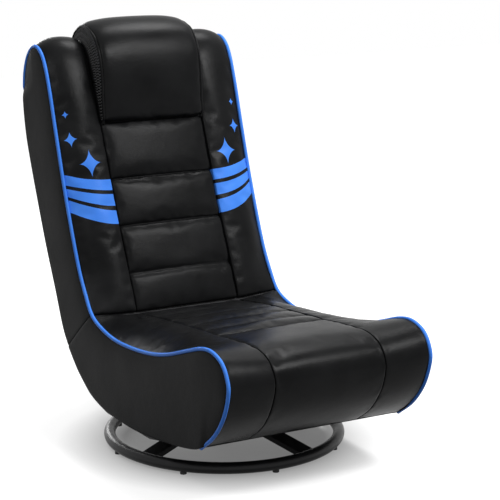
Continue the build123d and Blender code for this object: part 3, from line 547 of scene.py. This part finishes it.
# Side panels: ruled between the front and rear lines of each half, and padded
SIDE_PROUD = 0.001       # outside the piping's line
SIDE_IN = 0.005          # inner face inside it
SIDE_ROWS = 110
FIRST_ROWS = (0, 0.1, 0.3, 0.6)  # beside the butt line
SIDE_COLUMNS = 31
SIDE_LINE = 0.01         # spacing of the points that its lines are read at
CROWDING = 2.6           # lower crowds the columns more at its two lines
BULGE_REACH = 0.03
PIPED_DIP = (0.009, 0.004)
PLAIN_DIP = (0.007, 0.002)
BUTT_DIP = (0.006, 0.002)
PLAIN_FAR = 0.2          # far enough from piping for none of its rounding
SIDE_SWELLS = (0.0012, 0.09)
SIDE_SWELL_NEAR = 0.3
SIDE_SWELL_RISE = 0.01
BUTT_GAP = 0.0003


def off_butt(points, over):
    """Side-view points moved off the butt line, towards the back half."""
    return points + over * np.array([math.sin(BUTT), math.cos(BUTT)])


def share_line(points, shares):
    place = np.linspace(0, 1, len(points))
    return np.stack([np.interp(shares, place, points[:, i]) for i in (0, 1)], -1)


def side_panel(name, side, front, front_end, rear, piped, bulge):
    """The side of one half. Its rear line is plain, and becomes piped from the one station to the other."""
    rows = np.concatenate([FIRST_ROWS, np.arange(1, SIDE_ROWS)]) / (SIDE_ROWS - 1)
    rear_ks = even_stations(rear, 0, len(rear) - 1, SIDE_LINE)
    row_ks = np.interp(rows, np.linspace(0, 1, len(rear_ks)), rear_ks)
    plain = 1 - np.interp(row_ks, piped, (0, 1))[:, None]
    a = share_line(curve_at(front, even_stations(front, 0, front_end, SIDE_LINE)), rows)
    b = share_line(curve_at(rear, rear_ks), rows)
    m = np.linspace(0, 1, SIDE_COLUMNS)
    m = m - np.sin(2 * math.pi * m) / (CROWDING * math.pi)
    yz = a[:, None] * (1 - m)[None, :, None] + b[:, None] * m[None, :, None]
    width = np.linalg.norm(a - b, axis=1)[:, None]
    from_rear = (1 - m)[None, :] * width
    from_piping = np.minimum(m[None, :] * width, from_rear + PLAIN_FAR * plain**3)
    from_butt = arc_lengths(a)[:, None] + 0 * m[None, :]
    x = EDGE_X + SIDE_PROUD + bulge * (1 - np.exp(-from_piping / BULGE_REACH))
    x = x - dip(from_piping, *PIPED_DIP) - dip(from_rear, *PLAIN_DIP) * plain - dip(from_butt, *BUTT_DIP)
    grid = np.concatenate([side * x[..., None], yz], 2)
    near = np.minimum(from_piping, np.minimum(from_rear, from_butt))
    swell = pucker(grid, near * SIDE_SWELL_NEAR, *SIDE_SWELLS)
    grid[..., 0] += side * swell * (1 - np.exp(-near / SIDE_SWELL_RISE))
    low = grid.copy()
    low[..., 0] = side * (EDGE_X - SIDE_IN)
    return closed_pad(name, grid, low, grid[..., 1:])[0]


for side, name in SIDES:
    pieces[f"seat_side_panel_{name}"] = side_panel(
        f"seat_side_cover_{name}", side, off_butt(seat_edge, -BUTT_GAP), 11.2,
        off_butt(seat_under, -BUTT_GAP), piped=(8.5, 9.5), bulge=0.006,
    )
    pieces[f"back_side_panel_{name}"] = side_panel(
        f"back_side_cover_{name}", side, off_butt(back_edge, BUTT_GAP), 9.6,
        off_butt(back_rear, BUTT_GAP), piped=(6.95, 7.75), bulge=0.005,
    )

# Rear panel
REAR_SPACING = (0.012, 0.014)  # along and across
REAR_SIDE_DIP = (0.012, 0.003)
REAR_END_DIP = (0.008, 0.002)
REAR_SWELLS = (0.0010, 0.1)
REAR_DEPTH = 0.004
rear_ks = even_stations(back_rear, 0, REAR_STATION, REAR_SPACING[0], (0, REAR_STATION))
rear_grid = swept(columns(-outer_high, outer_high, REAR_SPACING[1]), curve_at(back_rear, rear_ks))
rear_n = surface_normals(rear_grid, REARWARD)
rear_uv = grid_uv(rear_grid)
rear_side = outer_high - np.abs(rear_uv[..., 0])
rear_ends = np.minimum(rear_uv[..., 1], rear_uv[-1, 0, 1] - rear_uv[..., 1])
rear_near = np.minimum(rear_side, rear_ends)
rear_h = -dip(rear_side, *REAR_SIDE_DIP) - dip(rear_ends, *REAR_END_DIP)
rear_h += pucker(rear_grid, rear_near * SWELL_NEAR, *REAR_SWELLS)
pieces["back_rear_panel"], _ = closed_pad(
    "back_rear_cover", rear_grid + rear_n * rear_h[..., None], rear_grid - rear_n * REAR_DEPTH, rear_uv
)

# The pillow's flap, which hangs over it
FLAP_LOW = 330           # its lower edge, millimetres along the back
FLAP_X = 0.1265
FLAP_SPACING = (0.008, 0.009)
FLAP_FACES = (0.0008, 0.0028)  # off the rear panel
HEM_RISE = 0.0011
HEM_IN = 0.006
HEM_W = 0.004
FLAP_GATHERS = (0.0012, 0.03)
FLAP_SWELLS = (0.0014, 0.07)
FLAP_TOP = (0.02, 0.003)  # how near its upper edge it begins to rise to the pillow, and how far
flap_start = station_at(BACK_REAR, FLAP_LOW)
flap_ks = even_stations(back_rear, flap_start, REAR_STATION, FLAP_SPACING[0], (flap_start,))
flap_grid = swept(columns(-FLAP_X, FLAP_X, FLAP_SPACING[1]), curve_at(back_rear, flap_ks))
flap_n = surface_normals(flap_grid, REARWARD)
flap_uv = grid_uv(flap_grid)
flap_edge = np.minimum(FLAP_X - np.abs(flap_uv[..., 0]), flap_uv[..., 1])
flap_h = FLAP_FACES[1] + HEM_RISE * np.exp(-(((flap_edge - HEM_IN) / HEM_W) ** 2))
flap_h += pucker(flap_grid, flap_edge, *FLAP_GATHERS)
flap_h += pucker(flap_grid, flap_edge * SWELL_NEAR, *FLAP_SWELLS)
from_top = flap_uv[-1, 0, 1] - flap_uv[..., 1]
flap_h += FLAP_TOP[1] * np.clip(1 - from_top / FLAP_TOP[0], 0, 1)
pieces["headrest_rear_flap"], _ = closed_pad(
    "headrest_flap", flap_grid + flap_n * flap_h[..., None], flap_grid + flap_n * FLAP_FACES[0], flap_uv
)

# Covers of the two butt faces, under the hinge leaves
COVER_OVER = 0.0029
COVER_T = 0.0002
butt_rows = np.linspace(0.016, 0.1485, 14)
butt_columns = np.linspace(-0.2305, 0.2305, 40)
butt_covers = {}
for side, name in ((-1, "seat"), (1, "back")):
    near_face = swept(butt_columns, butt_points(butt_rows, side * (COVER_OVER - COVER_T / 2)))
    far_face = swept(butt_columns, butt_points(butt_rows, side * (COVER_OVER + COVER_T / 2)))
    butt_covers[name], _ = closed_pad(f"{name}_butt_cover", near_face, far_face, grid_uv(near_face))

# Cloth joint over the hinge
JOINT_HALF = 0.022
JOINT_IN = (0.001, 0.003)  # below the crease in its middle, and how much more at its ends
JOINT_T = 0.0008
joint_m = np.linspace(-1, 1, 19)
joint_yz = butt_points(JOINT_IN[1] * joint_m**2 + JOINT_IN[0], joint_m * JOINT_HALF)
joint_grid = swept(np.linspace(-0.2345, 0.2345, 48), joint_yz)
joint_off = surface_normals(joint_grid, UP_FRONT) * (JOINT_T / 2)
crease_cloth, _ = closed_pad(
    "crease_cloth", joint_grid + joint_off, joint_grid - joint_off, grid_uv(joint_grid)
)

fill_pads()


# Materials
class Maker:
    """A node material under construction."""

    def __init__(self, name):
        self.mat = bpy.data.materials.new(name)
        self.mat.use_nodes = True
        self.nodes = self.mat.node_tree.nodes
        self.links = self.mat.node_tree.links
        self.bsdf = self.nodes["Principled BSDF"]
        self.coords = self.nodes.new("ShaderNodeTexCoord")

    def put(self, value, socket):
        if isinstance(value, bpy.types.NodeSocket):
            self.links.new(value, socket)
        else:
            socket.default_value = value

    def math(self, op, a, b=0.0, c=0.0):
        n = self.nodes.new("ShaderNodeMath")
        n.operation = op
        for value, socket in zip((a, b, c), n.inputs):
            self.put(value, socket)
        return n.outputs[0]

    def split(self, vector):
        n = self.nodes.new("ShaderNodeSeparateXYZ")
        self.links.new(vector, n.inputs[0])
        return n.outputs[0], n.outputs[1]

    def noise(self, scale, detail=3.0, roughness=0.55, stretch=None):
        n = self.nodes.new("ShaderNodeTexNoise")
        n.inputs["Scale"].default_value = scale
        n.inputs["Detail"].default_value = detail
        n.inputs["Roughness"].default_value = roughness
        self.links.new(self.stretched(stretch), n.inputs["Vector"])
        return n.outputs[0]

    def stretched(self, stretch):
        if stretch is None:
            return self.coords.outputs["Object"]
        n = self.nodes.new("ShaderNodeMapping")
        n.inputs["Scale"].default_value = stretch
        self.links.new(self.coords.outputs["Object"], n.inputs["Vector"])
        return n.outputs[0]

    def cells(self, scale, feature="SMOOTH_F1"):
        n = self.nodes.new("ShaderNodeTexVoronoi")
        n.feature = feature
        n.inputs["Scale"].default_value = scale
        self.links.new(self.coords.outputs["Object"], n.inputs["Vector"])
        return n.outputs["Distance"]

    def range(self, value, low, high, to_low, to_high):
        n = self.nodes.new("ShaderNodeMapRange")
        for v, socket in zip((value, low, high, to_low, to_high), n.inputs):
            self.put(v, socket)
        return n.outputs[0]

    def mix(self, share, a, b):
        n = self.nodes.new("ShaderNodeMix")
        n.data_type = "RGBA"
        self.put(share, n.inputs[0])
        self.put(a, n.inputs[6])
        self.put(b, n.inputs[7])
        return n.outputs[2]

    def bump(self, height, distance, strength=1.0, below=None):
        n = self.nodes.new("ShaderNodeBump")
        n.inputs["Distance"].default_value = distance
        n.inputs["Strength"].default_value = strength
        self.links.new(height, n.inputs["Height"])
        if below is not None:
            self.links.new(below, n.inputs["Normal"])
        return n.outputs[0]

    def done(self, colour, roughness, normal=None, metallic=0.0, specular=0.5, sheen=0.0):
        self.put(colour, self.bsdf.inputs["Base Color"])
        self.put(roughness, self.bsdf.inputs["Roughness"])
        self.bsdf.inputs["Metallic"].default_value = metallic
        self.bsdf.inputs["Specular IOR Level"].default_value = specular
        self.bsdf.inputs["Sheen Weight"].default_value = sheen
        if normal is not None:
            self.links.new(normal, self.bsdf.inputs["Normal"])
        return self.mat


BLACK = (0.0050, 0.0051, 0.0054, 1)
BLACK_WORN = (0.0095, 0.0097, 0.0102, 1)
BLUE = (0.072, 0.265, 0.88, 1)
BLUE_DEEP = (0.054, 0.215, 0.78, 1)
PU_SPECULAR = 0.055
PU_ROUGH = (0.27, 0.36)
SIDE_ROUGH = (0.34, 0.44)
SIDE_SPECULAR = PU_SPECULAR * 0.4
PIPING_ROUGH = (0.3, 0.42)
WORN_PATCHES = (0.35, 0.7, 0.0, 1.0)  # noise from and to, and the share of the lighter colour there
GLOSS_PATCHES = (0.3, 0.7)
PORE_SHADE = (0.1, 0.6, 0.35, 0.0)


def lighter(colour, times):
    return tuple(c * times for c in colour[:3]) + (1,)


def leather_surface(m, grain=1.0):
    """Pebbled grain, soft creases and uneven gloss of a coated cloth."""
    pebbles = m.cells(820)
    pores = m.noise(1500, 2.0)
    creases = m.noise(38, 4.0, 0.6)
    normal = m.bump(creases, 0.0012, 0.35)
    normal = m.bump(pebbles, 0.00022 * grain, 0.8, normal)
    normal = m.bump(pores, 0.00006 * grain, 0.6, normal)
    return normal, m.noise(9, 3.0), pebbles


def leather(name, light, dark, roughness=PU_ROUGH, grain=1.0, specular=PU_SPECULAR):
    m = Maker(name)
    normal, patches, pebbles = leather_surface(m, grain)
    colour = m.mix(m.range(patches, *WORN_PATCHES), dark, light)
    colour = m.mix(m.range(pebbles, *PORE_SHADE), colour, dark)
    return m.done(colour, m.range(patches, *GLOSS_PATCHES, *roughness), normal, specular=specular)


# Printed bolsters: three bands, by the edges' height along the back at the seam and how they rise to
# the side, and three sparkles, by place and half sizes
BAND_EDGES = [
    (0.298, -0.006, 0.030), (0.273, -0.002, 0.028), (0.264, -0.0025, 0.0295),
    (0.237, 0.0, 0.0365), (0.226, 0.0045, 0.0355), (0.195, 0.0005, 0.043),
]
STARS = [(0.212, 0.453, 0.0075, 0.009), (0.209, 0.396, 0.0145, 0.018), (0.1735, 0.338, 0.025, 0.032)]
STAR_POWER = 0.62
PRINT_MAP = "print"


def keep_print_places(obj):
    """Store each point's place across and along the back at rest, so that the print bends with the pad."""
    places = mesh_points(obj.data)
    across = np.abs(places[:, 0])
    along = (places[:, 1] - CREASE[0]) * math.sin(LEAN) + (places[:, 2] - CREASE[1]) * math.cos(LEAN)
    layer = obj.data.uv_layers.new(name=PRINT_MAP)
    for loop in obj.data.loops:
        layer.data[loop.index].uv = (across[loop.vertex_index], along[loop.vertex_index])


def printed_leather(name):
    m = Maker(name)
    normal, patches, _ = leather_surface(m)
    place = m.nodes.new("ShaderNodeUVMap")
    place.uv_map = PRINT_MAP
    across, along = m.split(place.outputs[0])
    f = m.math("DIVIDE", m.math("SUBTRACT", across, SEAM_X), EDGE_X - SEAM_X)
    above = []
    for start, slope, curve in BAND_EDGES:
        rise = m.math("MULTIPLY", m.math("ADD", m.math("MULTIPLY", f, curve), slope), f)
        above.append(m.math("GREATER_THAN", along, m.math("ADD", rise, start)))
    mask = 0.0
    for top, low in zip(above[::2], above[1::2]):
        mask = m.math("MAXIMUM", mask, m.math("SUBTRACT", low, top))
    for x, t, half_w, half_h in STARS:
        dx = m.math("ABSOLUTE", m.math("DIVIDE", m.math("SUBTRACT", across, x), half_w))
        dy = m.math("ABSOLUTE", m.math("DIVIDE", m.math("SUBTRACT", along, t), half_h))
        reach = m.math("ADD", m.math("POWER", dx, STAR_POWER), m.math("POWER", dy, STAR_POWER))
        mask = m.math("MAXIMUM", mask, m.math("LESS_THAN", reach, 1.0))
    worn = m.range(patches, *WORN_PATCHES)
    colour = m.mix(mask, m.mix(worn, BLACK, BLACK_WORN), m.mix(worn, BLUE_DEEP, BLUE))
    return m.done(colour, m.range(patches, *GLOSS_PATCHES, *PU_ROUGH), normal, specular=PU_SPECULAR)


def mesh_cloth():
    """Spacer mesh: a black ground with small open cells, and pale colour on the crests of its bars that is
    a painted highlight.
    """
    m = Maker("spacer_mesh")
    u, v = m.split(m.coords.outputs["UV"])
    column = m.math("FLOOR", m.math("MULTIPLY", u, BAR_COLUMNS / GUSSET_W))
    turn = m.math("MULTIPLY_ADD", v, 1 / BAR_PITCH, m.math("MULTIPLY", column, 0.5))
    turn = m.math("MULTIPLY_ADD", m.noise(160, 2.0), 0.5, turn)
    wave = m.math("ABSOLUTE", m.math("SINE", m.math("MULTIPLY", turn, math.pi)))
    holes = m.cells(420, "F1")
    yarn = m.noise(2600, 2.0)
    # Pale on the crests of the bars: a painted highlight where the raised bars would catch the light
    painted_bar_highlight = m.math("MULTIPLY", m.range(wave, 0.6, 0.85, 0.0, 1.0), m.range(holes, 0.1, 0.45, 0.5, 1.0))
    colour = m.mix(painted_bar_highlight, (0.0015, 0.0015, 0.0016, 1), (0.15, 0.151, 0.154, 1))
    normal = m.bump(holes, 0.0006, 1.0, m.bump(yarn, 0.0001, 0.7))
    return m.done(colour, m.range(yarn, 0.3, 0.7, 0.6, 0.8), normal, specular=0.01)


def painted_steel(name, colour, rough):
    m = Maker(name)
    powder = m.noise(1700, 3.0)
    wear = m.noise(60, 4.0)
    tint = m.mix(m.range(wear, 0.5, 0.75, 0.0, 0.6), colour, lighter(colour, 1.9))
    gloss = m.range(wear, 0.3, 0.7, rough, rough + 0.12)
    return m.done(tint, gloss, m.bump(powder, 0.00012, 0.5), specular=0.2)


def bare_steel():
    m = Maker("zinc_steel")
    brushed = m.noise(500, 3.0, stretch=(1, 1, 12))
    spots = m.noise(70, 4.0)
    colour = m.mix(spots, (0.52, 0.53, 0.55, 1), (0.66, 0.67, 0.69, 1))
    gloss = m.range(brushed, 0.3, 0.7, 0.28, 0.45)
    return m.done(colour, gloss, m.bump(brushed, 0.00005, 0.5), metallic=1.0)


def plywood():
    m = Maker("plywood")
    grain = m.noise(26, 5.0, 0.6, (1, 9, 9))
    pores = m.noise(420, 2.0, 0.5, (1, 12, 12))
    colour = m.mix(grain, (0.42, 0.27, 0.14, 1), (0.62, 0.45, 0.27, 1))
    return m.done(colour, m.range(pores, 0.3, 0.7, 0.6, 0.8), m.bump(pores, 0.0003, 0.5))


def foam():
    m = Maker("foam")
    cells = m.cells(900)
    colour = m.mix(m.noise(14), (0.62, 0.58, 0.44, 1), (0.74, 0.70, 0.56, 1))
    return m.done(colour, 0.92, m.bump(cells, 0.0005, 0.8), sheen=0.1)


def webbing():
    m = Maker("webbing")
    weave = m.nodes.new("ShaderNodeTexWave")
    weave.inputs["Scale"].default_value = 320
    m.links.new(m.coords.outputs["Object"], weave.inputs["Vector"])
    colour = m.mix(weave.outputs["Fac"], (0.02, 0.02, 0.022, 1), (0.06, 0.06, 0.065, 1))
    return m.done(colour, 0.8, m.bump(weave.outputs["Fac"], 0.0004, 0.8), sheen=0.15)


def moulded(name, colour, rough):
    m = Maker(name)
    grain = m.noise(900, 3.0)
    tint = m.mix(m.noise(30), colour, lighter(colour, 1.5))
    return m.done(tint, m.range(grain, 0.3, 0.7, rough, rough + 0.15), m.bump(grain, 0.0001, 0.5))


def lining():
    """Felted black lining under the seat and between the halves."""
    m = Maker("black_lining")
    fibres = m.noise(700, 4.0, 0.7)
    dots = m.cells(300, "F1")
    colour = m.mix(fibres, (0.010, 0.010, 0.011, 1), (0.035, 0.035, 0.037, 1))
    normal = m.bump(dots, 0.0003, 0.6, m.bump(fibres, 0.0003, 0.8))
    return m.done(colour, 0.85, normal, sheen=0.2)


def finish_with(obj, mat):
    obj.data.materials.clear()
    obj.data.materials.append(mat)


black_pu = leather("black_pu", BLACK_WORN, BLACK)
black_pu_side = leather("black_pu_side", BLACK_WORN, BLACK, SIDE_ROUGH, 1.2, SIDE_SPECULAR)
blue_pu = leather("blue_pu", BLUE, BLUE_DEEP, PIPING_ROUGH, 0.6)
printed = printed_leather("black_pu_printed")
spacer_mesh = mesh_cloth()
black_lining = lining()

# The CAD nodes that show as they are
finishes = [
    (painted_steel("base_paint", (0.011, 0.011, 0.012, 1), 0.3), [
        "base_ring", "base_hub_plate", "base_spoke_1", "base_spoke_2", "base_spoke_3", "base_spoke_4",
    ]),
    (painted_steel("frame_paint", (0.02, 0.02, 0.021, 1), 0.42), [
        "swivel_lower_plate", "swivel_upper_plate", "seat_mount_plate", "seat_rail_left", "seat_rail_right",
        "seat_front_tube", "back_rail_left", "back_rail_right", "back_top_tube",
    ]),
    (bare_steel(), [
        "bearing_balls", "swivel_pivot", "hub_bolts", "hub_nuts", "swivel_bolts", "swivel_nuts",
        "hinge_seat_leaves", "hinge_back_leaves", "hinge_seat_screws", "hinge_back_screws", "hinge_pins",
    ]),
    (moulded("glide_rubber", (0.014, 0.014, 0.015, 1), 0.6), ["floor_glides"]),
    (moulded("cage_plastic", (0.30, 0.30, 0.29, 1), 0.4), ["ball_cage"]),
    (plywood(), ["seat_end_board", "back_end_board", "seat_base_board"]),
    (foam(), ["seat_foam_core", "back_foam_core"]),
    (webbing(), ["back_webbing"]),
    (black_lining, ["seat_bottom_panel"]),
]
for mat, names in finishes:
    for name in names:
        finish_with(cad_nodes[name], mat)

# The back pads that reach the crease, the piping and the cloth joint are baked in place and attached to
# neither half.
CREASE_PADS = ("back_centre_pad", "back_bolster_left", "back_bolster_right")


for node, obj in pieces.items():
    mat, slot = black_pu, "black_pu_pad"
    if "side_panel" in node or "rear_panel" in node or "flap" in node:
        mat, slot = black_pu_side, "black_pu_panel"
    if "gusset" in node:
        mat, slot = spacer_mesh, "mesh"
    if node.startswith("back_bolster"):
        mat = printed
        keep_print_places(obj)
    finish_with(obj, mat)
    if "side_panel" not in node:
        smooth(obj)
    if node in CREASE_PADS:
        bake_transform(obj)
    else:
        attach(obj, "seat" if node.startswith("seat") else "back")
    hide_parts(node)
for welt in welts:
    finish_with(welt, black_pu)
    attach(welt, "back")
for body, obj in butt_covers.items():
    finish_with(obj, black_lining)
    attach(obj, body)
for name, obj in pipings.items():
    finish_with(obj, blue_pu)
    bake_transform(obj)
    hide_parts(f"seat_piping_{name}", f"back_piping_{name}")
finish_with(crease_cloth, black_lining)
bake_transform(crease_cloth)

# Floor: pale paper that glows for the rays that show the background, and less so under the chair, where the
# weaker glow is a painted shadow
FLOOR = 6.0
PAPER = ((0.31, 0.31, 0.31, 1), (0.33, 0.33, 0.33, 1))
PAPER_UNSEEN = (0.16, 0.16, 0.16, 1)
PAINTED_SHADOW_GLOW_NEAR = (0.22, 0.37, 0.16, 0.80)  # distances from the axis, and the strengths there; the weak glow near the axis is a painted shadow under the chair
PAINTED_SHADOW_GLOW_FAR = (0.37, 0.65, 0.0, 0.20)    # and what is added, the soft outer edge of that painted shadow
WHITE = (1, 1, 1, 1)
WORLD_UNSEEN = 0.22


def background_rays(tree):
    """1 for the rays that show the background: the camera's, and those off a gloss or through glass."""
    path = tree.nodes.new("ShaderNodeLightPath")
    share = path.outputs["Is Camera Ray"]
    for ray in ("Is Glossy Ray", "Is Transmission Ray"):
        either = tree.nodes.new("ShaderNodeMath")
        either.operation = "MAXIMUM"
        tree.links.new(share, either.inputs[0])
        tree.links.new(path.outputs[ray], either.inputs[1])
        share = either.outputs[0]
    return share


def floor_paper():
    m = Maker("studio_floor")
    shown = background_rays(m.mat.node_tree)
    far = m.nodes.new("ShaderNodeVectorMath")
    far.operation = "LENGTH"
    m.links.new(m.coords.outputs["Object"], far.inputs[0])
    distance = far.outputs["Value"]
    # The glow is weaker near the axis: a painted shadow under the chair
    glow_and_painted_shadow = m.math("ADD", m.range(distance, *PAINTED_SHADOW_GLOW_NEAR), m.range(distance, *PAINTED_SHADOW_GLOW_FAR))
    m.links.new(m.math("MULTIPLY", shown, glow_and_painted_shadow), m.bsdf.inputs["Emission Strength"])
    m.bsdf.inputs["Emission Color"].default_value = WHITE
    return m.done(m.mix(shown, PAPER_UNSEEN, m.mix(m.noise(40), *PAPER)), 0.9, specular=0.1)


corners = [(-FLOOR, -FLOOR, 0), (FLOOR, -FLOOR, 0), (FLOOR, FLOOR, 0), (-FLOOR, FLOOR, 0)]
floor_mesh = bpy.data.meshes.new("floor")
floor_mesh.from_pydata(corners, [], [(0, 1, 2, 3)])
floor_mesh.materials.append(floor_paper())
floor = bpy.data.objects.new("floor", floor_mesh)
scene.collection.objects.link(floor)

world = bpy.data.worlds.new("studio")
scene.world = world
world.use_nodes = True
sky = world.node_tree
strength = sky.nodes.new("ShaderNodeMapRange")
strength.inputs["To Min"].default_value = WORLD_UNSEEN
strength.inputs["To Max"].default_value = 1.0
sky.links.new(background_rays(sky), strength.inputs["Value"])
sky.links.new(strength.outputs[0], sky.nodes["Background"].inputs["Strength"])
sky.nodes["Background"].inputs["Color"].default_value = WHITE


def aimed(name, data, place, aim):
    obj = bpy.data.objects.new(name, data)
    obj.location = place
    obj.rotation_euler = (Vector(aim) - Vector(place)).to_track_quat("-Z", "Y").to_euler()
    scene.collection.objects.link(obj)
    return obj


def softbox(name, place, aim, size, power):
    light = bpy.data.lights.new(name, "AREA")
    light.shape = "RECTANGLE"
    light.size, light.size_y = size
    light.energy = power
    aimed(name, light, place, aim)


softbox("key", (1.0, -1.65, 2.6), (0, 0.1, 0.5), (0.7, 0.55), 70)
softbox("top", (0.85, 0.7, 2.6), (0.1, 0.2, 0.6), (0.7, 0.55), 30)
softbox("fill", (-1.6, -1.3, 2.6), (0, 0.1, 0.5), (0.7, 0.7), 20)
softbox("rear", (0.0, 2.8, 1.1), (0, 0.3, 0.5), (1.2, 0.8), 26)

camera_data = bpy.data.cameras.new("camera")
camera_data.lens = 131.9
camera_data.sensor_width = 36
scene.camera = aimed("camera", camera_data, (-1.8784, -3.3664, 1.2906), (0.0489, -0.0283, 0.4233))
scene.view_settings.view_transform = "Standard"
